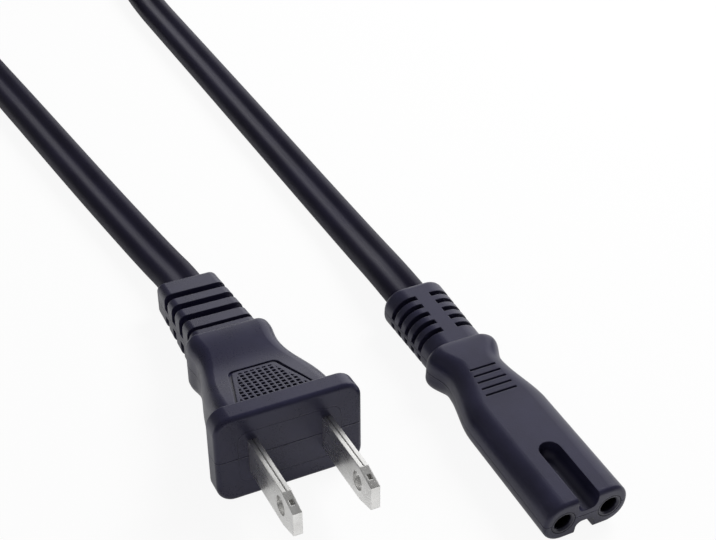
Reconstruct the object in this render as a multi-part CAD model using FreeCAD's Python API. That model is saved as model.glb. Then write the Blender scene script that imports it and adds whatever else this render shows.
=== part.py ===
import FreeCAD, Part
import math
import os
from FreeCAD import Vector, Placement, Rotation

# A moulded two-core mains lead: figure eight connector, flat cord, two-blade plug.
# Millimetres. The connector lies on z = 0 with its socket face towards -Y and its cord
# leaving towards +Y. The origin is under the middle of the connector.

# Connector, sizes measured along Y from the socket face
connector_length = 57.5
pin_pitch = 8.6
pin_diameter = 2.4
socket_diameter = 3.0
nose_width = 15.4
nose_height = 7.56
nose_length = 23.0
nose_edge = 0.7
corner_share = 0.94
waist_at = 34.4
waist_width = 11.2
shoulder_at = 39.0
shoulder_width = 13.8
shoulder_height = 8.7
shoulder_corner = 2.9
shoulder_tail = 1.3
groove_width = 3.6
groove_flare = 0.2
groove_length = 12.9
groove_round = 1.2
web_height = 2.3
bar_count = 5
bar_first_at = 26.0
bar_pitch = 1.55
bar_width = 0.4
bar_depth = 0.3
bar_longest = 6.0
bar_step = 0.25

# Strain relief of the connector
relief_width = 11.2
relief_end_width = 12.2
relief_height = 8.2
relief_corner = 3.7
relief_end_round = 1.0
relief_slot_count = 5
relief_slot_first_at = 44.0
relief_slot_pitch = 2.38
relief_slot_width = 1.1
relief_slot_wall_side = 0.6
relief_slot_wall_top = 0.4
relief_spine = 2.8
relief_side_spine = 0.8

# Insert and contacts inside the connector
insert_tube_diameter = 4.4
insert_bridge_at = 13.8
insert_bridge_length = 5.2
insert_bridge_width = 13.0
insert_bridge_height = 5.0
mouth_chamfer = 0.3
tube_rim_chamfer = 0.15
sleeve_recess = 2.8
sleeve_length = 9.2
sleeve_wall = 0.28
sleeve_neck = 1.4
crimp_length = 4.6
crimp_slack = 0.1
seam_gap = 0.35
fit_clearance = 0.02

# Cord
cord_width = 8.2
cord_thickness = 4.1
core_diameter = 4.0
strand_diameter = 1.2
strand_setback = 0.4
core_lead = 1.0
core_pull = 0.5
core_straight_at = 31.0
plug_core_straight_at = 24.5
cord_length = 1800.0
cord_lead = 8.0
plug_cord_lead = 4.5

# Plug, sizes measured along its own axis from the face that meets the wall
plug_length = 49.3
flange_width = 25.2
flange_height = 16.3
flange_thickness = 3.9
flange_corner = 3.0
flange_edge = 0.8
flange_rear_edge = 0.48
grip_width = 20.4
grip_height = 12.4
grip_corner = 2.4
grip_fullness = 1.8
grip_root = 0.6
scoop_at = 17.5
scoop_height = 9.2
plug_waist_at = 22.5
plug_waist_width = 14.9
plug_shoulder_at = 26.6
plug_shoulder_width = 15.5
plug_shoulder_height = 11.3
plug_shoulder_tail = 1.6
plug_shoulder_round = 1.28
pad_end_at = 16.0
pad_start_at = 4.6
pad_end_width = 8.6
pad_start_width = 14.2
pad_round = 1.3
pad_groove = 0.5
pad_frame = 0.7
pad_depth = 0.35
pad_cell = 1.05
pad_bar = 0.42
plug_relief_width = 12.4
plug_relief_height = 9.7
plug_relief_end_width = 11.6
plug_relief_end_height = 6.6
plug_relief_corner = 1.5
plug_relief_round = 0.8
plug_slot_count = 4
plug_slot_first_at = 30.4
plug_slot_pitch = 4.3
plug_slot_width = 1.9
plug_first_slot_width = 1.14
plug_slot_wall = 0.4
plug_side_spine = 1.4

# Blades and what holds them
blade_spacing = 12.7
blade_width = 6.35
blade_thickness = 1.52
blade_length = 17.4
blade_hole = 3.2
blade_hole_at = 12.6
blade_tip_width = 4.2
blade_tip_taper = 4.0
blade_seam = 0.14
blade_seam_depth = 0.35
blade_gap_width = 0.65
blade_gap_length = 1.0
blade_gap_depth = 0.9
blade_tail = 9.0
blade_crimp_length = 4.0
blade_crimp_setback = 0.3
plug_insert_width = 17.6
plug_insert_height = 9.6
plug_insert_corner = 1.6
plug_insert_depth = 9.0

# Place of the plug beside the connector
plug_face_x = -37.3
plug_face_y = 0.4
plug_yaw = -0.7

# Hank of the cord that is put away: long turns round two bends, held by two ties
hank_middle_x = -26.0
hank_near_bend_y = 227.5
hank_straight = 56.0
hank_outer_radius = 37.5
hank_bends = 9
hank_layers = 2
hank_turn_pitch = 4.4
hank_layer_pitch = 8.4
hank_corner = 2.6
tie_thickness = 0.5
tie_width = 5.0
tie_clearance = 0.15
tie_lap = 8.0
tie_lap_margin = 0.3

# Spare of cutters past what they cut, and of shapes into what they join
cut_spare = 1.0
join_spare = 1.0
corner_limit = 0.98
route_arc_share = 0.45

# Derived places
socket_middle_z = shoulder_height / 2
core_offset = (cord_width - core_diameter) / 2 - fit_clearance
crimp_radius = strand_diameter / 2 + sleeve_wall + crimp_slack
insert_end = insert_bridge_at + insert_bridge_length
crimp_start = sleeve_recess + sleeve_length + sleeve_neck
core_start = insert_end
plug_core_start = blade_tail + blade_crimp_length + blade_crimp_setback
plug_tilt = math.degrees(math.atan2((flange_height - plug_relief_end_height) / 2,
                                    plug_length - flange_thickness))
hank_build = hank_turn_pitch * hank_bends / 2 / hank_layers + cord_thickness
hank_mean_radius = hank_outer_radius - hank_build / 2
hank_height = hank_layer_pitch * (hank_layers - 1) + cord_width
hank_low = tie_thickness + tie_clearance

# Route of the cord outside the hank, from the connector and from the plug
connector_route = [
    (0.0, connector_length / 2, socket_middle_z),
    (0.0, connector_length / 2 + cord_lead, socket_middle_z),
    (0.6, 50.5, 2.5),
    (0.1, 73.0, 2.08),
    (-1.05, 108.0, 2.07),
    (-2.3, 143.0, 2.08),
    (-3.6, 176.0, 2.15),
    (0.2, 198.0, 3.2),
    (6.2, 216.0, 4.4),
]
plug_route = [
    (-37.65, 61.0, 2.25),
    (-39.5, 74.0, 2.09),
    (-42.3, 94.0, 2.07),
    (-46.9, 129.5, 2.08),
    (-51.2, 160.5, 2.1),
    (-54.6, 188.0, 4.4),
    (-58.6, 212.5, 10.2),
]


# Basic shapes, all with their axis along Y

def section(y, width, height, corner):
    """A rounded rectangle across the Y axis."""
    half_w = width / 2
    half_h = height / 2
    r = min(corner, half_w * corner_limit, half_h * corner_limit)
    inner_w = half_w - r
    inner_h = half_h - r
    edges = []
    for turn in range(4):
        a = math.radians(90 * turn)
        b = math.radians(90 * turn + 45)
        c = math.radians(90 * turn + 90)
        sign_x = 1 if turn in (0, 3) else -1
        sign_z = 1 if turn in (0, 1) else -1
        points = [Vector(sign_x * inner_w + r * math.cos(k), y, sign_z * inner_h + r * math.sin(k))
                  for k in (a, b, c)]
        edges.append(Part.Arc(*points).toShape())
        next_x, next_z = ((-inner_w, half_h), (-half_w, -inner_h),
                          (inner_w, -half_h), (half_w, inner_h))[turn]
        edges.append(Part.LineSegment(points[2], Vector(next_x, y, next_z)).toShape())
    return Part.Wire(edges)


def prism(y, length, width, height, corner):
    return Part.Face(section(y, width, height, corner)).extrude(Vector(0, length, 0))


def box(low, high):
    size = Vector(*high) - Vector(*low)
    return Part.makeBox(size.x, size.y, size.z, Vector(*low))


def rod(x, y, length, diameter):
    return Part.makeCylinder(diameter / 2, length, Vector(x, y, 0), Vector(0, 1, 0))


def ease(start, end, share):
    """Goes smoothly from start to end while share goes from 0 to 1."""
    t = min(1.0, max(0.0, share))
    return start + (end - start) * t * t * (3 - 2 * t)


def edges_at(shape, y):
    """The edges of a shape that lie wholly in the plane at y."""
    return [e for e in shape.Edges if all(abs(v.Point.y - y) < 1e-5 for v in e.Vertexes)]


def rounded_end(shape, y, radius):
    return shape.makeFillet(radius, edges_at(shape, y))


def mirrored(shape):
    return shape.mirror(Vector(0, 0, 0), Vector(1, 0, 0))


# Connector overmould

def nose_corner():
    return nose_height / 2 * corner_share


def grip_section(y):
    """Width, height and corner of the connector between its nose and its relief."""
    length = shoulder_at - nose_length
    height = ease(nose_height, shoulder_height, (y - nose_length) / length)
    if y <= waist_at:
        width = ease(nose_width, waist_width, (y - nose_length) / (waist_at - nose_length))
    else:
        width = ease(waist_width, shoulder_width, (y - waist_at) / (shoulder_at - waist_at))
    corner = ease(nose_corner(), shoulder_corner, (y - waist_at) / (shoulder_at - waist_at))
    if y > shoulder_at:
        share = math.sqrt(max(0.0, 1 - ((y - shoulder_at) / shoulder_tail) ** 2))
        width = relief_width + (shoulder_width - relief_width) * share
        height = relief_height + (shoulder_height - relief_height) * share
    return section(y, width, height, corner)


def grip():
    steps = 14
    stations = [nose_length + (shoulder_at - nose_length) * k / steps for k in range(steps + 1)]
    stations += [shoulder_at + shoulder_tail * share for share in (0.35, 0.65, 0.87, 1.0)]
    return Part.makeLoft([grip_section(y) for y in stations], True, False)


def nose():
    body = prism(0, nose_length, nose_width, nose_height, nose_corner())
    return rounded_end(body, 0, nose_edge)


def relief():
    body = Part.makeLoft([
        section(shoulder_at, relief_width, relief_height, relief_corner),
        section(connector_length, relief_end_width, relief_height, relief_corner),
    ], True, True)
    return rounded_end(body, connector_length, relief_end_round)


def relief_slots():
    """Quarter rings cut into the relief, parted by a spine on each side."""
    core_width = cord_width + 2 * relief_slot_wall_side
    core_height = cord_thickness + 2 * relief_slot_wall_top
    core_corner = core_height / 2 * corner_share
    slots = []
    for k in range(relief_slot_count):
        y = relief_slot_first_at + k * relief_slot_pitch - relief_slot_width / 2
        ring = prism(y, relief_slot_width, relief_end_width + 2 * cut_spare,
                     relief_height + 2 * cut_spare, relief_corner)
        ring = ring.cut(prism(y, relief_slot_width, core_width, core_height, core_corner))
        reach = relief_end_width
        ring = ring.cut(box((-relief_spine / 2, y, -reach),
                            (relief_spine / 2, y + relief_slot_width, reach)))
        ring = ring.cut(box((-reach, y, -relief_side_spine / 2),
                            (reach, y + relief_slot_width, relief_side_spine / 2)))
        slots.append(ring)
    return Part.makeCompound(slots)


def groove_profile(depth):
    """Half of a keying groove, seen along Y, with its mouth at z = depth."""
    half = groove_width / 2
    r = groove_round
    diagonal = r * math.sqrt(0.5)
    arc = Part.Arc(Vector(half - r, 0, 0), Vector(half - r + diagonal, 0, r - diagonal),
                   Vector(half, 0, r))
    points = [Vector(half, 0, r), Vector(half + groove_flare, 0, depth),
              Vector(0, 0, depth), Vector(0, 0, 0), Vector(half - r, 0, 0)]
    lines = [Part.LineSegment(a, b).toShape() for a, b in zip(points, points[1:])]
    return Part.Face(Part.Wire([arc.toShape()] + lines))


def groove():
    """The upper groove: open at the face, round in plan at its inner end."""
    depth = nose_height / 2 - web_height / 2 + cut_spare
    half = groove_profile(depth)
    straight = groove_length - groove_width / 2
    run = half.extrude(Vector(0, straight + cut_spare, 0))
    run.translate(Vector(0, -cut_spare, 0))
    end = half.revolve(Vector(0, 0, 0), Vector(0, 0, 1), 360)
    end.translate(Vector(0, straight, 0))
    cutter = run.fuse([mirrored(run), end])
    cutter.translate(Vector(0, 0, web_height / 2))
    return cutter


def grip_bars():
    """Engraved bars across the top of the grip."""
    bars = []
    for k in range(bar_count):
        y = bar_first_at + k * bar_pitch
        share = (y - nose_length) / (shoulder_at - nose_length)
        top = ease(nose_height, shoulder_height, share) / 2
        half = (bar_longest - k * bar_step) / 2
        bars.append(box((-half, y, top - bar_depth), (half, y + bar_width, top + cut_spare)))
    return Part.makeCompound(bars)


def connector_body():
    outer = nose().fuse([grip(), relief()])
    upper = groove()
    lower = upper.mirror(Vector(0, 0, 0), Vector(0, 0, 1))
    outer = outer.cut([upper, lower, relief_slots(), grip_bars()])
    inner = [connector_insert_blank()]
    for side in (-1, 1):
        inner.append(rod(side * pin_pitch / 2, 0, insert_end, socket_diameter))
        inner.append(connector_core_blank(side))
    return outer.cut(inner)


# Insert and contacts of the connector

def connector_insert_blank():
    bridge = prism(insert_bridge_at, insert_bridge_length, insert_bridge_width,
                   insert_bridge_height, insert_bridge_height / 2 * corner_share)
    tubes = [rod(side * pin_pitch / 2, 0, insert_bridge_at + join_spare,
                 insert_tube_diameter)
             for side in (-1, 1)]
    return bridge.fuse(tubes)


def cone(x, start_radius, end_radius, length):
    return Part.makeCone(start_radius, end_radius, length, Vector(x, 0, 0), Vector(0, 1, 0))


def connector_insert():
    """Two socket tubes on a bridge, each bored in steps for its contact.

    The chamfer on each tube's rim leaves the fine ring that shows in the face.
    """
    cuts = []
    hole = socket_diameter / 2
    tube = insert_tube_diameter / 2
    for side in (-1, 1):
        x = side * pin_pitch / 2
        mouth = cone(x, hole + mouth_chamfer, hole, mouth_chamfer)
        rim = rod(x, 0, tube_rim_chamfer, 2 * (tube + cut_spare))
        rim = rim.cut(cone(x, tube - tube_rim_chamfer, tube, tube_rim_chamfer))
        cuts += [mouth, rim, rod(x, 0, crimp_start, socket_diameter),
                 rod(x, 0, insert_end, 2 * (crimp_radius + fit_clearance))]
    return connector_insert_blank().cut(cuts)


def contact(side):
    """A rolled sleeve that grips the pin, a neck and a crimped barrel, with one seam."""
    outer = socket_diameter / 2 - fit_clearance
    inner = pin_diameter / 2
    core = strand_diameter / 2
    start = sleeve_recess
    neck = start + sleeve_length
    end = crimp_start + crimp_length
    profile = [(inner, start), (outer, start), (outer, neck), (crimp_radius, crimp_start),
               (crimp_radius, end), (core, end), (core, crimp_start), (inner, neck),
               (inner, start)]
    face = Part.Face(Part.makePolygon([Vector(r, y, 0) for r, y in profile]))
    sleeve = face.revolve(Vector(0, 0, 0), Vector(0, 1, 0), 360)
    seam = box((-seam_gap / 2, start - cut_spare, -outer - cut_spare),
               (seam_gap / 2, end + cut_spare, 0))
    sleeve = sleeve.cut(seam)
    sleeve.translate(Vector(side * pin_pitch / 2, 0, 0))
    return sleeve


# Insulated cores and their copper strands

def core_path(side, x_start, y_start, y_straight, y_end):
    """Runs in from a contact, eases to the cord's own spacing and goes straight out."""
    near = side * x_start
    far = side * core_offset
    first = Vector(near, y_start, 0)
    bend = Vector(near, y_start + core_lead, 0)
    join = Vector(far, y_straight, 0)
    pull = (y_straight - bend.y) * core_pull
    curve = Part.BezierCurve()
    curve.setPoles([bend, bend + Vector(0, pull, 0), join - Vector(0, pull, 0), join])
    edges = [Part.LineSegment(first, bend).toShape(), curve.toShape(),
             Part.LineSegment(join, Vector(far, y_end, 0)).toShape()]
    return Part.Wire(edges)


def swept_round(path, diameter):
    start = path.OrderedVertexes[0].Point
    ring = Part.Wire(Part.Circle(start, Vector(0, 1, 0), diameter / 2).toShape())
    return path.makePipeShell([ring], True, False)


def connector_path(side):
    return core_path(side, pin_pitch / 2, core_start, core_straight_at, connector_length)


def connector_core_blank(side):
    return swept_round(connector_path(side), core_diameter)


def connector_strand(side):
    start = crimp_start + strand_setback
    tail = rod(side * pin_pitch / 2, start, core_start - start, strand_diameter)
    return swept_round(connector_path(side), strand_diameter).fuse(tail)


def plug_path(side):
    return core_path(side, blade_spacing / 2, plug_core_start, plug_core_straight_at, plug_length)


def plug_core_blank(side):
    return swept_round(plug_path(side), core_diameter)


def plug_strand(side):
    start = blade_tail + strand_setback
    tail = rod(side * blade_spacing / 2, start, plug_core_start - start, strand_diameter)
    return swept_round(plug_path(side), strand_diameter).fuse(tail)


# Plug overmould

def plug_grip_size(y):
    """Width and height of the plug's grip, full at its sides and scooped before its shoulder."""
    if y <= plug_waist_at:
        share = max(0.0, y - flange_thickness) / (plug_waist_at - flange_thickness)
        width = ease(grip_width, plug_waist_width, share ** grip_fullness)
    else:
        share = (y - plug_waist_at) / (plug_shoulder_at - plug_waist_at)
        width = ease(plug_waist_width, plug_shoulder_width, share)
    if y <= scoop_at:
        share = (y - flange_thickness) / (scoop_at - flange_thickness)
        height = ease(grip_height, scoop_height, share)
    else:
        share = (y - scoop_at) / (plug_shoulder_at - scoop_at)
        height = ease(scoop_height, plug_shoulder_height, share)
    return width, height


def plug_grip():
    steps = 11
    start = flange_thickness - grip_root
    length = plug_shoulder_at - start
    sections = []
    for k in range(steps + 1):
        y = start + length * k / steps
        width, height = plug_grip_size(y)
        sections.append(section(y, width, height, grip_corner))
    body = Part.makeLoft(sections, True, False)
    tail = prism(plug_shoulder_at, plug_shoulder_tail, plug_shoulder_width,
                 plug_shoulder_height, grip_corner)
    return body.fuse(rounded_end(tail, plug_shoulder_at + plug_shoulder_tail,
                                 plug_shoulder_round))


def plug_relief():
    start = plug_shoulder_at
    body = Part.makeLoft([
        section(start, plug_relief_width, plug_relief_height, plug_relief_corner),
        section(plug_length, plug_relief_end_width, plug_relief_end_height, plug_relief_corner),
    ], True, True)
    return rounded_end(body, plug_length, plug_relief_round)


def plug_slots():
    """Deep slots right round the relief, parted only by a spine along each side."""
    core_width = cord_width + 2 * plug_slot_wall
    core_height = cord_thickness + 2 * plug_slot_wall
    slots = []
    for k in range(plug_slot_count):
        width = plug_slot_width if k else plug_first_slot_width
        y = plug_slot_first_at + k * plug_slot_pitch - width / 2
        ring = prism(y, width, plug_relief_width + 2 * cut_spare,
                     plug_relief_height + 2 * cut_spare, plug_relief_corner)
        ring = ring.cut(prism(y, width, core_width, core_height, core_height / 2))
        ring = ring.cut(box((-plug_relief_width, y, -plug_side_spine / 2),
                            (plug_relief_width, y + width, plug_side_spine / 2)))
        slots.append(ring)
    return Part.makeCompound(slots)


def flange():
    body = prism(0, flange_thickness, flange_width, flange_height, flange_corner)
    body = rounded_end(body, 0, flange_edge)
    return rounded_end(body, flange_thickness, flange_rear_edge)


def pad_outline(inset):
    """The tapering outline of the finger pad, seen from above."""
    near = pad_start_width / 2 - inset
    far = pad_end_width / 2 - inset
    start = pad_start_at + inset
    end = pad_end_at - inset
    return [(-near, start), (-far, end), (far, end), (near, start)]


def pad_prism(inset, high):
    """The pad's outline as an upright block with rounded corners."""
    points = [Vector(x, y, 0) for x, y in pad_outline(inset)]
    block = Part.Face(Part.makePolygon(points + points[:1])).extrude(Vector(0, 0, high))
    upright = [e for e in block.Edges if abs(e.Vertexes[0].Z - e.Vertexes[1].Z) > high / 2]
    return block.makeFillet(max(pad_round - inset, pad_bar / 2), upright)


def pad_cutter():
    """A groove right round the finger pad, and a square grid of pits inside its frame."""
    top = grip_height / 2 + cut_spare
    field = pad_prism(pad_groove + pad_frame, top)
    bars = []
    count = int(pad_start_width / pad_cell / 2) + 1
    for k in range(-count, count + 1):
        x = k * pad_cell
        bars.append(box((x - pad_bar / 2, pad_start_at, 0), (x + pad_bar / 2, pad_end_at, top)))
    rows = int((pad_end_at - pad_start_at) / pad_cell)
    for k in range(rows + 1):
        y = pad_start_at + k * pad_cell
        bars.append(box((-pad_start_width, y, 0), (pad_start_width, y + pad_bar, top)))
    border = pad_prism(0, top).cut(pad_prism(pad_groove, top))
    cells = field.cut(bars)
    floor = recess_floor()
    return [border.cut(floor), cells.cut(floor)]


def recess_floor():
    """The body of the grip again, lower by the pad's depth."""
    steps = 7
    start = pad_start_at - cut_spare
    length = pad_end_at + cut_spare - start
    sections = []
    for k in range(steps + 1):
        y = start + length * k / steps
        width, height = plug_grip_size(y)
        sections.append(section(y, width + 2 * cut_spare, height - 2 * pad_depth, grip_corner))
    return Part.makeLoft(sections, True, False)


def plug_body():
    outer = flange().fuse([plug_grip(), plug_relief()])
    outer = outer.cut([plug_slots()] + pad_cutter())
    inner = [plug_insert_blank()]
    for side in (-1, 1):
        inner.append(blade(side))
        inner.append(plug_core_blank(side))
        inner.append(rod(side * blade_spacing / 2, plug_insert_depth,
                         plug_core_start - plug_insert_depth, 2 * crimp_radius))
    return outer.cut(inner)


# Blades and their insert

def plug_insert_blank():
    return prism(0, plug_insert_depth, plug_insert_width, plug_insert_height,
                 plug_insert_corner)


def plug_insert():
    return plug_insert_blank().cut([blade(-1), blade(1)])


def blade_outline():
    half = blade_width / 2
    tip = blade_tip_width / 2
    return [(-blade_length, -tip), (-blade_length, tip),
            (blade_tip_taper - blade_length, half), (blade_tail, half),
            (blade_tail, -half), (blade_tip_taper - blade_length, -half)]


def blade(side):
    """A strip folded double along its lower edge, so its seam runs along the top."""
    half = blade_thickness / 2
    points = [Vector(-half, y, z) for y, z in blade_outline()]
    plate = Part.Face(Part.makePolygon(points + points[:1])).extrude(
        Vector(blade_thickness, 0, 0))
    hole = Part.makeCylinder(blade_hole / 2, blade_thickness + 2 * cut_spare,
                             Vector(-half - cut_spare, -blade_hole_at, 0), Vector(1, 0, 0))
    top = blade_width / 2
    seam = box((-blade_seam / 2, blade_tip_taper - blade_length, top - blade_seam_depth),
               (blade_seam / 2, blade_tail, top))
    middle = blade_tip_taper / 2 - blade_length
    gap_top = (blade_width + blade_tip_width) / 4
    gap = box((-blade_gap_width / 2, middle - blade_gap_length / 2, gap_top - blade_gap_depth),
              (blade_gap_width / 2, middle + blade_gap_length / 2, top))
    barrel = rod(0, blade_tail, blade_crimp_length, 2 * crimp_radius)
    bore = rod(0, blade_tail + strand_setback, blade_crimp_length, strand_diameter)
    strip = plate.cut([hole, seam, gap]).fuse(barrel).cut(bore)
    strip.translate(Vector(side * blade_spacing / 2, 0, 0))
    return strip


# Cord

def arc_radius(before, point, after):
    """Radius, tangent length and turn of the arc that rounds a point of the route."""
    run_in = point - before
    run_out = after - point
    turn = run_in.getAngle(run_out)
    tangent = route_arc_share * min(run_in.Length, run_out.Length)
    return tangent / math.tan(turn / 2), tangent, turn


def route_wire(points):
    """Straight runs joined by tangent arcs."""
    places = [Vector(*p) for p in points]
    edges = []
    start = places[0]
    for before, point, after in zip(places, places[1:], places[2:]):
        radius, tangent, turn = arc_radius(before, point, after)
        way_in = (point - before).normalize()
        way_out = (after - point).normalize()
        first = point - way_in * tangent
        last = point + way_out * tangent
        inward = (way_out - way_in).normalize()
        middle = point + inward * (radius / math.cos(turn / 2) - radius)
        edges.append(Part.LineSegment(start, first).toShape())
        edges.append(Part.Arc(first, middle, last).toShape())
        start = last
        print("cord radius", round(radius, 1), "at", [round(c, 1) for c in point])
    edges.append(Part.LineSegment(start, places[-1]).toShape())
    return Part.Wire(edges)


def flat_profile(place, way):
    """The cord's flat section, level from side to side and square to its way."""
    across = way.cross(Vector(0, 0, 1)).normalize()
    up = across.cross(way).normalize()
    half = (cord_width - cord_thickness) / 2
    r = cord_thickness / 2
    right = place + across * half
    left = place - across * half
    edges = [
        Part.LineSegment(left + up * r, right + up * r).toShape(),
        Part.Arc(right + up * r, right + across * r, right - up * r).toShape(),
        Part.LineSegment(right - up * r, left - up * r).toShape(),
        Part.Arc(left - up * r, left - across * r, left + up * r).toShape(),
    ]
    return Part.Wire(edges)


def cord_tube(points):
    path = route_wire(points)
    start = Vector(*points[0])
    profile = flat_profile(start, (Vector(*points[1]) - start).normalize())
    pipe = Part.BRepOffsetAPI.MakePipeShell(path)
    pipe.setBiNormalMode(Vector(0, 0, 1))
    pipe.add(profile, False, False)
    pipe.build()
    pipe.makeSolid()
    tube = pipe.shape()
    area = Part.Face(profile).Area
    print("cord tube", round(path.Length, 1), "mm, volume over section times length",
          round(tube.Volume / area / path.Length, 4))
    return tube, path.Length


def hank_section(side, y, spread):
    """Section of the bundled turns on one side of the hank, grown by spread."""
    wire = section(y, hank_build + 2 * spread, hank_height + 2 * spread, hank_corner + spread)
    wire.translate(Vector(side * hank_mean_radius, 0, hank_low + hank_height / 2))
    return Part.Face(wire)


def at_hank(shape):
    shape.translate(Vector(hank_middle_x, hank_near_bend_y, 0))
    return shape


def cord_hank():
    """The outer shape of the bundled turns: two straight sides and two round bends."""
    run = Vector(0, hank_straight, 0)
    near = hank_section(-1, 0, 0).revolve(Vector(0, 0, 0), Vector(0, 0, 1), 180)
    far = hank_section(1, hank_straight, 0).revolve(run, Vector(0, 0, 1), 180)
    sides = [hank_section(side, 0, 0).extrude(run) for side in (-1, 1)]
    return at_hank(near.fuse(sides + [far]).removeSplitter())


def hank_tie(side):
    """A flat band round the turns at the middle of one side, its end lapped on top."""
    start = (hank_straight - tie_width) / 2
    run = Vector(0, tie_width, 0)
    outer = hank_section(side, start, tie_clearance + tie_thickness).extrude(run)
    band = outer.cut(hank_section(side, start, tie_clearance).extrude(run))
    top = hank_low + hank_height + tie_clearance + tie_thickness
    middle = side * hank_mean_radius
    lap = box((middle - tie_lap / 2, start + tie_lap_margin, top),
              (middle + tie_lap / 2, start + tie_width - tie_lap_margin, top + tie_thickness))
    return at_hank(band.fuse(lap))


# Places

def at_connector(shape):
    shape.translate(Vector(0, -connector_length / 2, socket_middle_z))
    return shape


def plug_placement():
    """The plug lies on its flange's rear lower edge and on the end of its relief."""
    tilt = math.radians(plug_tilt)
    lift = flange_thickness * math.sin(tilt) + flange_height / 2 * math.cos(tilt)
    turn = Rotation(Vector(0, 0, 1), plug_yaw).multiply(Rotation(Vector(1, 0, 0), -plug_tilt))
    return Placement(Vector(plug_face_x, plug_face_y, lift), turn)


def at_plug(shape):
    placed = shape.copy()
    placed.Placement = plug_placement().multiply(placed.Placement)
    return placed


def plug_cord_start():
    """The cord leaves the plug straight along its axis."""
    ends = [plug_placement().multVec(Vector(0, y, 0))
            for y in (plug_length, plug_length + plug_cord_lead)]
    print("plug cord starts", [[round(c, 2) for c in end] for end in ends])
    return [(end.x, end.y, end.z) for end in ends]


def save(name, shape):
    solids = shape.Solids
    print(name, len(solids), "solid", "valid" if shape.isValid() else "NOT VALID",
          round(shape.Volume, 1))
    result = solids[0] if len(solids) == 1 else shape
    result.exportStep("parts/" + name + ".step")


def save_connector():
    save("connector_body", at_connector(connector_body()))
    save("connector_insert", at_connector(connector_insert()))
    for side, word in ((-1, "left"), (1, "right")):
        strand = connector_strand(side)
        core = connector_core_blank(side).cut(strand)
        save("socket_contact_" + word, at_connector(contact(side)))
        save("connector_core_" + word, at_connector(core))
        save("connector_strand_" + word, at_connector(strand))


def save_plug():
    save("plug_body", at_plug(plug_body()))
    save("plug_insert", at_plug(plug_insert()))
    for side, word in ((-1, "left"), (1, "right")):
        strand = plug_strand(side)
        core = plug_core_blank(side).cut(strand)
        save("plug_blade_" + word, at_plug(blade(side)))
        save("plug_core_" + word, at_plug(core))
        save("plug_strand_" + word, at_plug(strand))


def save_cord():
    hank = cord_hank()
    front, front_length = cord_tube(connector_route)
    rear, rear_length = cord_tube(plug_cord_start() + plug_route)
    bundled = math.pi * hank_mean_radius * hank_bends + hank_straight * (hank_bends + 1)
    print("cord length", round(front_length + rear_length + bundled), "of", cord_length)
    save("cord_to_connector", front.cut(hank))
    save("cord_to_plug", rear.cut(hank))
    save("cord_coil", hank)
    for side, word in ((-1, "left"), (1, "right")):
        save("cord_tie_" + word, hank_tie(side))


os.makedirs("parts", exist_ok=True)
save_connector()
save_plug()
save_cord()
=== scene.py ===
import math

import bpy
from mathutils import Matrix, Vector


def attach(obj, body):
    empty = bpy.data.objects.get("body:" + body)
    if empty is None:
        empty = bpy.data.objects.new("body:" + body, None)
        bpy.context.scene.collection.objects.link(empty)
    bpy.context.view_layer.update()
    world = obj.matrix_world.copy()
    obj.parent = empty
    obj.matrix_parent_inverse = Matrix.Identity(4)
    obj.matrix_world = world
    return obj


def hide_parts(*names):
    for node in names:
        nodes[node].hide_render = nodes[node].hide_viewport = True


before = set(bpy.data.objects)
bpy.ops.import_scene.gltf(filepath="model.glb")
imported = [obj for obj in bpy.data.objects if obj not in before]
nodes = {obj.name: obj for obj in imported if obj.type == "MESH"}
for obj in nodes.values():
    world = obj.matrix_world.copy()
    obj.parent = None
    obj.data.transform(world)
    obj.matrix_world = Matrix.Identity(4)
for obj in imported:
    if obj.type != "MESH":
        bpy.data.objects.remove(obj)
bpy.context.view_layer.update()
print("frame loaded,", len(nodes), "nodes")


# Node trees: one method adds every node, and a wrapped socket does the maths

def pick(sockets, key):
    live = [socket for socket in sockets if socket.enabled]
    return live[key] if isinstance(key, int) else next(s for s in live if s.name == key)


class Sock:
    def __init__(self, tree, socket):
        self.tree, self.socket = tree, socket

    def maths(self, operation, *values):
        return self.tree.node("ShaderNodeMath", {"operation": operation}, values)

    def __add__(self, other):
        return self.maths("ADD", self, other)

    def __radd__(self, other):
        return self.maths("ADD", other, self)

    def __sub__(self, other):
        return self.maths("SUBTRACT", self, other)

    def __rsub__(self, other):
        return self.maths("SUBTRACT", other, self)

    def __mul__(self, other):
        return self.maths("MULTIPLY", self, other)

    def __rmul__(self, other):
        return self.maths("MULTIPLY", other, self)

    def __truediv__(self, other):
        return self.maths("DIVIDE", self, other)

    def __rtruediv__(self, other):
        return self.maths("DIVIDE", other, self)

    def size(self):
        return self.maths("ABSOLUTE", self)

    def most(self, other):
        return self.maths("MAXIMUM", self, other)

    def smooth(self, low, high):
        settings = {"interpolation_type": "SMOOTHSTEP"}
        return self.tree.node("ShaderNodeMapRange", settings, (self, low, high, 0.0, 1.0))


class Tree:
    def __init__(self, nodeTree):
        self.nodeTree = nodeTree
        nodeTree.nodes.clear()

    def node(self, kind, settings=None, values=(), take=0):
        made = self.nodeTree.nodes.new(kind)
        for key, value in (settings or {}).items():
            setattr(made, key, value)
        given = values.items() if isinstance(values, dict) else enumerate(values)
        for key, value in given:
            socket = pick(made.inputs, key)
            if isinstance(value, Sock):
                self.nodeTree.links.new(value.socket, socket)
            else:
                socket.default_value = (*value, 1.0) if socket.type == "RGBA" else value
        return Sock(self, pick(made.outputs, take)) if made.outputs else None


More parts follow.
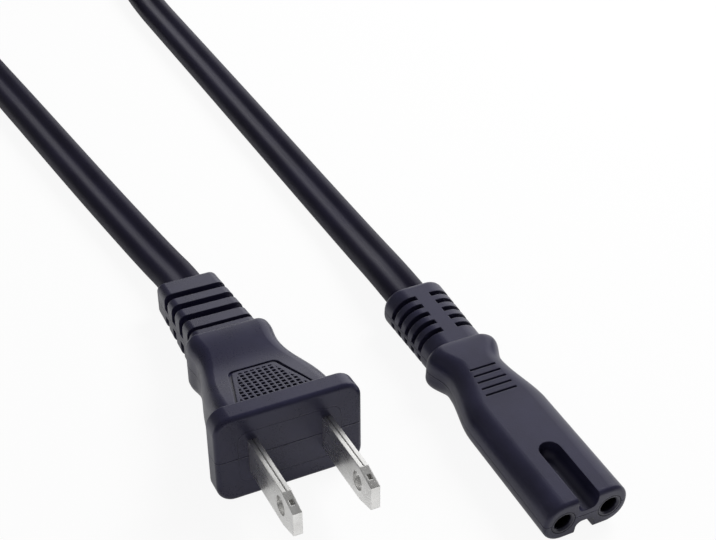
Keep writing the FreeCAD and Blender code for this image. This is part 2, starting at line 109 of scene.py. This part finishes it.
class Paint(Tree):
    def __init__(self, owner):
        owner.use_nodes = True
        self.owner = owner
        super().__init__(owner.node_tree)

    def place(self, space="Object", stretch=(1.0, 1.0, 1.0)):
        coords = self.node("ShaderNodeTexCoord", take=space)
        return self.node("ShaderNodeMapping", {}, {"Vector": coords, "Scale": stretch})

    def along(self, place, way):
        settings = {"operation": "DOT_PRODUCT"}
        return self.node("ShaderNodeVectorMath", settings, (place, way), "Value")

    def noise(self, place, size, detail=2.0, rough=0.5):
        values = {"Vector": place, "Scale": 1.0 / size, "Detail": detail, "Roughness": rough}
        return self.node("ShaderNodeTexNoise", {}, values)

    def blend(self, share, low, high):
        return self.node("ShaderNodeMix", {"data_type": "RGBA"}, (share, low, high))

    def softEdge(self, radius):
        return self.node("ShaderNodeBevel", {"samples": 6}, {"Radius": radius})

    def bump(self, height, depth, normal=None):
        values = {"Height": height, "Distance": depth, "Strength": 1.0}
        if normal:
            values["Normal"] = normal
        return self.node("ShaderNodeBump", {}, values)

    def backdropRays(self, mirrored):
        # rays that show the backdrop, with the share that reflections take of its plain white
        camera, glossy, through = [self.node("ShaderNodeLightPath", take=kind + " Ray")
                                   for kind in ("Is Camera", "Is Glossy", "Is Transmission")]
        return camera.most(through).most(glossy * mirrored)

    def finish(self, **values):
        named = {key.replace("_", " "): value for key, value in values.items()}
        shader = self.node("ShaderNodeBsdfPrincipled", {}, named)
        self.node("ShaderNodeOutputMaterial", {}, {"Surface": shader})
        return self.owner


class Pattern(Tree):
    def __init__(self, name, sizes):
        self.name = name
        super().__init__(bpy.data.node_groups.new(name, "GeometryNodeTree"))
        sockets = self.nodeTree.interface
        sockets.new_socket("Geometry", in_out="OUTPUT", socket_type="NodeSocketGeometry")
        self.values = {}
        for label, value in sizes.items():
            kind = "NodeSocketInt" if isinstance(value, int) else "NodeSocketFloat"
            made = sockets.new_socket(label, in_out="INPUT", socket_type=kind)
            self.values[made.identifier] = value

    def read(self, label):
        return self.node("NodeGroupInput", take=label)

    def spot(self, x=0.0, y=0.0, z=0.0):
        return self.node("ShaderNodeCombineXYZ", {}, (x, y, z))

    def row(self, count, start, step, piece, turn=(0.0, 0.0, 0.0)):
        values = {"Count": count, "Start Location": start, "Offset": step}
        points = self.node("GeometryNodeMeshLine", {}, values)
        values = {"Points": points, "Instance": piece, "Rotation": turn}
        return self.node("GeometryNodeInstanceOnPoints", {}, values)

    def mesh(self, geometry, material):
        loose = self.node("GeometryNodeRealizeInstances", {}, (geometry,))
        done = self.node("GeometryNodeSetMaterial", {}, {"Geometry": loose, "Material": material})
        self.node("NodeGroupOutput", {}, (done,))
        holder = bpy.data.objects.new(self.name, bpy.data.meshes.new(self.name))
        bpy.context.scene.collection.objects.link(holder)
        modifier = holder.modifiers.new(self.name, "NODES")
        modifier.node_group = self.nodeTree
        for identifier, value in self.values.items():
            modifier[identifier] = value
        evaluated = holder.evaluated_get(bpy.context.evaluated_depsgraph_get())
        made = bpy.data.meshes.new_from_object(evaluated)
        holder.modifiers.remove(modifier)
        bpy.data.objects.remove(holder)
        return made


def newPaint(name):
    return Paint(bpy.data.materials.new(name))


# Moulded soft plastic of both ends

vinyl = {
    "low": (0.0140, 0.0134, 0.0245),
    "high": (0.0190, 0.0182, 0.0325),
    "patch": 0.006,                     # size of the faint cloudy patches
    "grain": 0.00028,                   # spark texture of the mould
    "grainDepth": 0.000013,
    "roughness": 0.34,
    "shineTint": (0.85, 0.84, 1.0),
    "edge": 0.00022,                    # softness of the moulded edges
    "seamHalf": 0.00016,                # parting line of the mould
    "seamDepth": 0.0001,
    "bore": (0.0008, 0.0008, 0.0012),   # painted shade, nearly black inside the sockets
    "boreLip": 0.0002,                  # depth at which the painted shade starts
    "boreDark": 0.0009,                 # and at which the painted shade is darkest
}


# middle is a point of the plane where the halves of the mould met, up its normal, and face
# the y from which painted shade darkens the bores inwards
mouldings = {
    "mouldedConnector": {"middle": (0.0, 0.0, 0.00435), "tint": (1.2, 1.2, 1.45)},
    "mouldedPlug": {"middle": (-0.0373, 0.0004, 0.00852), "up": (0.0013, 0.1062, 0.9943),
                    "tint": (1.0, 1.0, 1.35), "polish": 0.05},
    "mouldedCarrier": {"face": -0.02875, "polish": 0.04},
    "coreInsulation": {"tint": (0.8, 0.8, 0.8), "polish": 0.1},
}


def vinylPaint(name, middle=None, up=(0.0, 0.0, 1.0), tint=(1.0, 1.0, 1.0), polish=0.0,
               face=None):
    paint = newPaint(name)
    place = paint.place()
    patch = paint.noise(place, vinyl["patch"], 3.0)
    grain = paint.noise(place, vinyl["grain"], 4.0, 0.6)
    low, high = [tuple(c * t for c, t in zip(vinyl[key], tint)) for key in ("low", "high")]
    color = paint.blend(patch.smooth(0.3, 0.7), low, high)
    # painted shade: the sockets' bores darken to nearly black with depth past the face
    if face is not None:
        inward = paint.along(place, (0.0, 1.0, 0.0))
        boreShadeShare = inward.smooth(face + vinyl["boreLip"], face + vinyl["boreDark"])
        color = paint.blend(boreShadeShare, color, vinyl["bore"])
    normal = paint.softEdge(vinyl["edge"])
    if middle:
        height = paint.along(place, up)
        away = (height - Vector(middle).dot(Vector(up))).size()
        ridge = 1.0 - away.smooth(0.0, vinyl["seamHalf"])
        normal = paint.bump(ridge, vinyl["seamDepth"], normal)
    normal = paint.bump(grain, vinyl["grainDepth"], normal)
    roughness = vinyl["roughness"] - polish + 0.1 * (patch - 0.5) + 0.12 * (grain - 0.5)
    return paint.finish(Base_Color=color, Roughness=roughness, Normal=normal,
                        Specular_Tint=vinyl["shineTint"])


connectorPaint, plugPaint, carrierPaint, corePaint = [
    vinylPaint(name, **moulding) for name, moulding in mouldings.items()]


# Extruded jacket of the flat cord, with draw marks along it

jacket = {
    "low": (0.0070, 0.0060, 0.0160),
    "high": (0.0100, 0.0088, 0.0220),
    "roughness": 0.46,
    "shine": 0.26,
    "shineTint": (0.86, 0.84, 1.0),
    "patch": 0.012,
    "streak": 0.0012,
    "streakDepth": 0.000008,
    "drawn": (1.0, 0.02, 1.0),          # stretches the streaks along the cord
}


def jacketPaint():
    paint = newPaint("cordJacket")
    patch = paint.noise(paint.place(), jacket["patch"], 2.0)
    streak = paint.noise(paint.place("UV", jacket["drawn"]), jacket["streak"], 3.0)
    color = paint.blend(patch.smooth(0.35, 0.65), jacket["low"], jacket["high"])
    normal = paint.bump(streak, jacket["streakDepth"])
    roughness = jacket["roughness"] + 0.08 * (patch - 0.5) + 0.1 * (streak - 0.5)
    return paint.finish(Base_Color=color, Roughness=roughness, Normal=normal,
                        Specular_IOR_Level=jacket["shine"], Specular_Tint=jacket["shineTint"])


# Metals, with fine marks from drawing along them and edges softened by folding or rolling

metals = {
    "nickelPlate": {"low": (0.78, 0.775, 0.76), "high": (0.92, 0.915, 0.9), "roughness": 0.28,
                    "metallic": 0.95, "mark": 0.0003, "markDepth": 0.000003, "edge": 0.0002},
    "rolledBrass": {"low": (0.62, 0.42, 0.16), "high": (0.8, 0.6, 0.28), "roughness": 0.3,
                    "metallic": 1.0, "mark": 0.0003, "markDepth": 0.000004, "edge": 0.0001},
    "copperStrand": {"low": (0.72, 0.3, 0.16), "high": (0.86, 0.42, 0.26), "roughness": 0.28,
                     "metallic": 1.0, "mark": 0.0002, "markDepth": 0.00001, "edge": 0.0001},
}
metalGrain = {
    "patch": 0.0035,
    "drawn": (1.0, 0.06, 1.0),          # stretches the marks along y
}


def metalPaint(name):
    metal = metals[name]
    paint = newPaint(name)
    patch = paint.noise(paint.place(), metalGrain["patch"], 3.0)
    drawn = paint.noise(paint.place(stretch=metalGrain["drawn"]), metal["mark"], 3.0)
    color = paint.blend(patch.smooth(0.3, 0.75), metal["low"], metal["high"])
    normal = paint.bump(drawn, metal["markDepth"], paint.softEdge(metal["edge"]))
    roughness = metal["roughness"] + 0.12 * (patch - 0.5) + 0.1 * (drawn - 0.5)
    return paint.finish(Base_Color=color, Metallic=metal["metallic"], Roughness=roughness,
                        Normal=normal)


# Woven strap that holds the hank

woven = {
    "low": (0.010, 0.010, 0.012),
    "high": (0.032, 0.032, 0.036),
    "roughness": 0.8,
    "sheen": 0.3,
    "fibre": 0.00018,
    "fibreDepth": 0.00002,
    "weft": 0.0006,                     # from one cross thread to the next
    "weftDepth": 0.00005,
    "bandsPerUnit": 3.183,              # bands of a wave texture of scale 1 in one unit
}


def strapPaint():
    paint = newPaint("wovenStrap")
    place = paint.place()
    fibre = paint.noise(place, woven["fibre"], 3.0)
    scale = 1.0 / (woven["weft"] * woven["bandsPerUnit"])
    weft = paint.node("ShaderNodeTexWave", {"bands_direction": "DIAGONAL"},
                      {"Vector": place, "Scale": scale, "Distortion": 0.6}, "Fac")
    color = paint.blend((fibre * 0.5 + weft * 0.5).smooth(0.2, 0.8), woven["low"], woven["high"])
    normal = paint.bump(weft, woven["weftDepth"])
    normal = paint.bump(fibre, woven["fibreDepth"], normal)
    roughness = woven["roughness"] + 0.15 * (fibre - 0.5)
    return paint.finish(Base_Color=color, Roughness=roughness, Normal=normal,
                        Sheen_Weight=woven["sheen"])


def dress(name, material):
    node = nodes[name]
    node.data.materials.clear()
    node.data.materials.append(material)


nickelPaint, brassPaint, copperPaint = [metalPaint(name) for name in metals]
strapFabric = strapPaint()

dress("connector_body", connectorPaint)
dress("connector_insert", carrierPaint)
dress("plug_body", plugPaint)
dress("plug_insert", plugPaint)
for side in ("left", "right"):
    dress("plug_blade_" + side, nickelPaint)
    dress("socket_contact_" + side, brassPaint)
    dress("cord_tie_" + side, strapFabric)
    for end in ("connector", "plug"):
        dress(end + "_core_" + side, corePaint)
        dress(end + "_strand_" + side, copperPaint)
print("finishes made")


# Cord: its points between the connector, the hank and the plug, in metres

cord = {
    "width": 0.0082,
    "thickness": 0.0041,
    "valley": 122.0,                    # degrees of each lobe, from its side to the valley
    "lobeCorners": 13,
    "valleyCorners": 5,
    "perPoint": 8,                      # rings of the tube for each point of its route
    "length": 1.8,
    "twist": 0.04,                      # length over which it turns on edge for the hank
    "fromConnector": [
        (0.0, 0.02875, 0.00435), (0.0, 0.03675, 0.00435), (0.0006, 0.0505, 0.0025),
        (0.0001, 0.073, 0.00208), (-0.00105, 0.108, 0.00207), (-0.0023, 0.143, 0.00208),
        (-0.0036, 0.176, 0.00215), (0.0002, 0.198, 0.0032), (0.0062, 0.216, 0.0044)],
    "toPlug": [
        (-0.0586, 0.2125, 0.0102), (-0.0546, 0.188, 0.0044), (-0.0512, 0.1605, 0.0021),
        (-0.0469, 0.1295, 0.00208), (-0.0423, 0.094, 0.00207), (-0.0395, 0.074, 0.00209),
        (-0.03765, 0.061, 0.00225), (-0.03665, 0.05389, 0.0028), (-0.0367, 0.04942, 0.00328)],
}
hank = {
    "middle": -0.026,
    "nearBend": 0.2275,
    "straight": 0.056,
    "outer": 0.03545,                   # radius of the outermost turn's middle
    "bends": 9,
    "perBend": 5,                       # spline points round one bend
    "perStraight": 3,
    "build": 0.0099,                    # from the outermost turn to the innermost
    "low": 0.00475,
    "high": 0.01315,
    "climb": 8,                         # spline points over which it climbs a layer
}


def ease(share):
    t = min(1.0, max(0.0, share))
    return t * t * (3 - 2 * t)


def hankPlaces():
    # unit places round the hank: side of a straight or angle of a bend, and shift along y
    far = hank["nearBend"] + hank["straight"]
    step = math.pi / (hank["perBend"] + 1)
    spread = 1 / math.cos(step / 2)
    places = []
    for bend in range(hank["bends"] + 1):
        outward = bend % 2 == 0
        for k in range(hank["perStraight"]):
            share = k / (hank["perStraight"] - 1)
            y = hank["nearBend"] + hank["straight"] * (share if outward else 1 - share)
            places.append((1.0 if outward else -1.0, 0.0, y))
        if bend == hank["bends"]:
            break
        for k in range(1, hank["perBend"] + 1):
            angle = k * step + (0.0 if outward else math.pi)
            places.append((spread * math.cos(angle), spread * math.sin(angle),
                           far if outward else hank["nearBend"]))
    return places


def hankPoints():
    # in along the lower layer and out again along the upper one
    places = hankPlaces()
    last = len(places) - 1
    points = []
    for k, (across, along, y) in enumerate(places):
        radius = hank["outer"] - hank["build"] * (1 - abs(2 * k / last - 1))
        rise = ease((k - last / 2) / hank["climb"] + 0.5)
        points.append((hank["middle"] + radius * across, y + radius * along,
                       hank["low"] + (hank["high"] - hank["low"]) * rise))
    return points


def routeLine(points):
    curve = bpy.data.curves.new("cordRoute", "CURVE")
    curve.dimensions = "3D"
    curve.resolution_u = cord["perPoint"]
    spline = curve.splines.new("NURBS")
    spline.points.add(len(points) - 1)
    for point, place in zip(spline.points, points):
        point.co = (*place, 1.0)
    spline.order_u = 3
    spline.use_endpoint_u = True
    holder = bpy.data.objects.new("cordRoute", curve)
    bpy.context.scene.collection.objects.link(holder)
    bpy.context.view_layer.update()
    line = bpy.data.meshes.new_from_object(holder)
    places = [v.co.copy() for v in line.vertices]
    bpy.data.objects.remove(holder)
    bpy.data.meshes.remove(line)
    return places


def cordSection():
    # two round lobes and a hollow arc between them, tangent to both, as (across, up), in
    # the order that turns the faces outwards
    r = cord["thickness"] / 2
    shift = cord["width"] / 2 - r
    reach = math.radians(cord["valley"])
    count, between = cord["lobeCorners"], cord["valleyCorners"]
    lobe = [reach * (2 * k / (count - 1) - 1) for k in range(count)]
    right = [(shift + r * math.cos(a), r * math.sin(a)) for a in lobe]
    hollow = -shift / math.cos(reach) - r
    height = (r + hollow) * math.sin(reach)
    spread = reach - math.pi / 2
    for k in range(1, between + 1):
        a = spread * (1 - 2 * k / (between + 1))
        right.append((hollow * math.sin(a), height - hollow * math.cos(a)))
    return (right + [(-x, -z) for x, z in right])[::-1]


def reachAlong(line):
    reach = [0.0]
    for a, b in zip(line, line[1:]):
        reach.append(reach[-1] + (b - a).length)
    return reach


def cordRoll(line, reach):
    # flat where it lies on the floor, on edge in the hank, never deeper than the floor
    r = cord["thickness"] / 2
    shift = cord["width"] / 2 - r
    held = [s for p, s in zip(line, reach) if p.y > hank["nearBend"]]
    roll = []
    for place, s in zip(line, reach):
        inward = ease((s - held[0]) / cord["twist"] + 1) * ease((held[-1] - s) / cord["twist"] + 1)
        free = math.asin(min(1.0, max(0.0, (place.z - r) / shift)))
        roll.append(min(free, inward * math.pi / 2))
    return roll


def cordRings(line, reach, section):
    # the section carried along the line, square to it and rolled
    verts = []
    for k, (place, angle) in enumerate(zip(line, cordRoll(line, reach))):
        way = (line[min(k + 1, len(line) - 1)] - line[max(k - 1, 0)]).normalized()
        side = way.cross(Vector((0, 0, 1))).normalized()
        up = side.cross(way).normalized()
        for across, high in section:
            x = across * math.cos(angle) - high * math.sin(angle)
            z = across * math.sin(angle) + high * math.cos(angle)
            verts.append(place + side * x + up * z)
    return verts


def cordMesh(line):
    section = cordSection()
    count = len(section)
    reach = reachAlong(line)
    verts, faces, uvs = cordRings(line, reach, section), [], []
    for k in range(len(line) - 1):
        for j in range(count):
            a, b = k * count + j, k * count + (j + 1) % count
            faces.append((a, b, b + count, a + count))
            low, high = j / count, (j + 1) / count
            uvs += [(low, reach[k]), (high, reach[k]), (high, reach[k + 1]), (low, reach[k + 1])]
    last = (len(line) - 1) * count
    faces.append(tuple(range(count - 1, -1, -1)))
    faces.append(tuple(range(last, last + count)))
    uvs += [(0.0, 0.0)] * count + [(0.0, reach[-1])] * count
    mesh = bpy.data.meshes.new("flatCord")
    mesh.from_pydata([tuple(v) for v in verts], [], faces)
    layer = mesh.uv_layers.new(name="UVMap")
    for loop, uv in zip(layer.data, uvs):
        loop.uv = (uv[0] * 2 * cord["width"], uv[1])
    mesh.polygons.foreach_set("use_smooth", [True] * (len(faces) - 2) + [False] * 2)
    mesh.update()
    return mesh, reach[-1]


def add(name, mesh, material):
    piece = bpy.data.objects.new(name, mesh)
    bpy.context.scene.collection.objects.link(piece)
    mesh.materials.clear()
    mesh.materials.append(material)
    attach(piece, "root")
    return piece


# Threads that run round each strap, side by side

strap = {
    "across": 0.0153,
    "top": 0.0179,
    "corner": 0.00325,
    "cornerPoints": 6,
    "thread": 0.0002,                   # radius
    "threadSides": 8,
    "threads": 9,
    "weave": 0.0042,                    # from the first thread to the last
    "side": 0.03055,                    # from the middle of the hank to each strap
    "middle": 0.2555,
}


def strapThreads():
    pattern = Pattern("strapThreads", {
        "Across": strap["across"], "Top": strap["top"], "Corner": strap["corner"],
        "Thread": strap["thread"], "Threads": strap["threads"], "Weave": strap["weave"],
        "Side": strap["side"], "Middle": strap["middle"], "Hank": hank["middle"]})
    thread, top, weave, side = [pattern.read(key) for key in ("Thread", "Top", "Weave", "Side")]
    sizes = {"Width": pattern.read("Across"), "Height": top - thread}
    outline = pattern.node("GeometryNodeCurvePrimitiveQuadrilateral", {}, sizes)
    values = {"Curve": outline, "Count": strap["cornerPoints"], "Radius": pattern.read("Corner")}
    outline = pattern.node("GeometryNodeFilletCurve", {"mode": "POLY"}, values)
    values = {"Resolution": strap["threadSides"], "Radius": thread}
    profile = pattern.node("GeometryNodeCurvePrimitiveCircle", {}, values)
    values = {"Curve": outline, "Profile Curve": profile}
    tube = pattern.node("GeometryNodeCurveToMesh", {}, values)
    start = pattern.spot(y=pattern.read("Middle") - weave * 0.5, z=(top + thread) * 0.5)
    count = pattern.read("Threads")
    step = pattern.spot(y=weave / (count - 1.0))
    threads = pattern.row(count, start, step, tube, (math.pi / 2, 0.0, 0.0))
    first = pattern.spot(x=pattern.read("Hank") - side)
    both = pattern.row(2, first, pattern.spot(x=side * 2.0), threads)
    return pattern.mesh(both, strapFabric)


threadPiece = add("strapThreads", strapThreads(), strapFabric)
print("straps woven,", len(threadPiece.data.polygons), "faces")

line = routeLine(cord["fromConnector"] + hankPoints() + cord["toPlug"])
mesh, reach = cordMesh(line)
flatCord = add("flatCord", mesh, jacketPaint())
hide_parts("cord_to_connector", "cord_to_plug", "cord_coil")
plugPieces = ["plug_body", "plug_insert", "cord_tie_left", "cord_tie_right"]
plugPieces += ["plug_" + kind + "_" + side for kind in ("blade", "core", "strand")
               for side in ("left", "right")]
[tuple(p) for p in line]
print("cord", round(reach, 3), "m long")


# Floor, light and camera

studio = {
    "floorTone": (0.9, 0.9, 0.9),
    "floorHalf": 6.0,
    "floorWhite": 0.92,                 # share of plain white that the camera sees in the floor
    "floorMirrored": 0.45,              # of that, how much reflections on the part see
    "world": 0.19,                      # also the dim walls that reflections show
    "card": {                           # white card behind, on the right, seen only in reflections
        "way": (0.55, 0.72, 0.42), "from": 0.84, "full": 0.92, "white": 1.4,
        "side": (0.944, 0.33, 0.0), "sideFrom": 0.48, "sideFull": 0.54,
    },
    "aim": (-0.01, 0.04, 0.0),
    "lamps": {
        "keyLamp": {"power": 4.0, "place": (0.42, 0.2, 0.42), "size": 0.3},
        "fillLamp": {"power": 0.5, "place": (-0.5, -0.25, 0.35), "size": 0.5},
    },
}


def makeFloor():
    paint = newPaint("paleFloor")
    plain = paint.node("ShaderNodeBsdfDiffuse", {}, {"Color": studio["floorTone"]})
    white = paint.node("ShaderNodeEmission", {}, {"Color": (1.0, 1.0, 1.0), "Strength": 1.0})
    share = paint.backdropRays(studio["floorMirrored"]) * studio["floorWhite"]
    mix = paint.node("ShaderNodeMixShader", {}, (share, plain, white))
    paint.node("ShaderNodeOutputMaterial", {}, {"Surface": mix})
    half = studio["floorHalf"]
    mesh = bpy.data.meshes.new("floor")
    mesh.from_pydata([(-half, -half, 0), (half, -half, 0), (half, half, 0), (-half, half, 0)],
                     [], [(0, 1, 2, 3)])
    mesh.materials.append(paint.owner)
    floor = bpy.data.objects.new("floor", mesh)
    bpy.context.scene.collection.objects.link(floor)


def makeWorld():
    world = bpy.data.worlds.new("studioWorld")
    bpy.context.scene.world = world
    paint = Paint(world)
    way = paint.node("ShaderNodeTexCoord", take="Generated")
    card = studio["card"]
    near, inside = [paint.along(way, Vector(card[key]).normalized())
                    for key in ("way", "side")]
    lit = near.smooth(card["from"], card["full"])
    lit = lit * inside.smooth(card["sideFrom"], card["sideFull"])
    seen = paint.backdropRays(lit * card["white"])
    strength = studio["world"] + (1.0 - studio["world"]) * seen
    back = paint.node("ShaderNodeBackground", {}, {"Color": (1.0, 1.0, 1.0), "Strength": strength})
    paint.node("ShaderNodeOutputWorld", {}, {"Surface": back})


def makeLamp(name, lamp):
    data = bpy.data.lights.new(name, "AREA")
    data.energy, data.shape, data.size = lamp["power"], "SQUARE", lamp["size"]
    holder = bpy.data.objects.new(name, data)
    holder.location = lamp["place"]
    holder.visible_glossy = False
    aim = Vector(studio["aim"]) - Vector(lamp["place"])
    holder.rotation_euler = aim.to_track_quat("-Z", "Y").to_euler()
    bpy.context.scene.collection.objects.link(holder)


shot = {
    "target": (-0.00229, 0.04622, 0.0),
    "azimuth": -28.11,
    "elevation": 37.53,
    "roll": 2.8,
    "distance": 0.25619,
    "focalPixels": 1300.0,
    "framePixels": 716.0,
    "sensor": 36.0,
}


def makeCamera():
    data = bpy.data.cameras.new("camera")
    data.sensor_fit, data.sensor_width = "HORIZONTAL", shot["sensor"]
    data.lens = shot["focalPixels"] * shot["sensor"] / shot["framePixels"]
    data.clip_start, data.clip_end = 0.01, 20.0
    camera = bpy.data.objects.new("camera", data)
    bpy.context.scene.collection.objects.link(camera)
    az, el = math.radians(shot["azimuth"]), math.radians(shot["elevation"])
    roll = math.radians(shot["roll"])
    back = Vector((math.sin(az) * math.cos(el), -math.cos(az) * math.cos(el), math.sin(el)))
    level = (-back).cross(Vector((0, 0, 1))).normalized()
    up = level.cross(-back)
    right = level * math.cos(roll) + up * math.sin(roll)
    top = up * math.cos(roll) - level * math.sin(roll)
    camera.rotation_mode = "QUATERNION"
    turn = [[right[k], top[k], back[k]] for k in range(3)]
    camera.rotation_quaternion = Matrix(turn).to_quaternion()
    camera.location = Vector(shot["target"]) + back * shot["distance"]
    bpy.context.scene.camera = camera


makeFloor()
makeWorld()
for name, lamp in studio["lamps"].items():
    makeLamp(name, lamp)
makeCamera()
bpy.context.scene.view_settings.view_transform = "Standard"
print("floor, lights and camera placed")
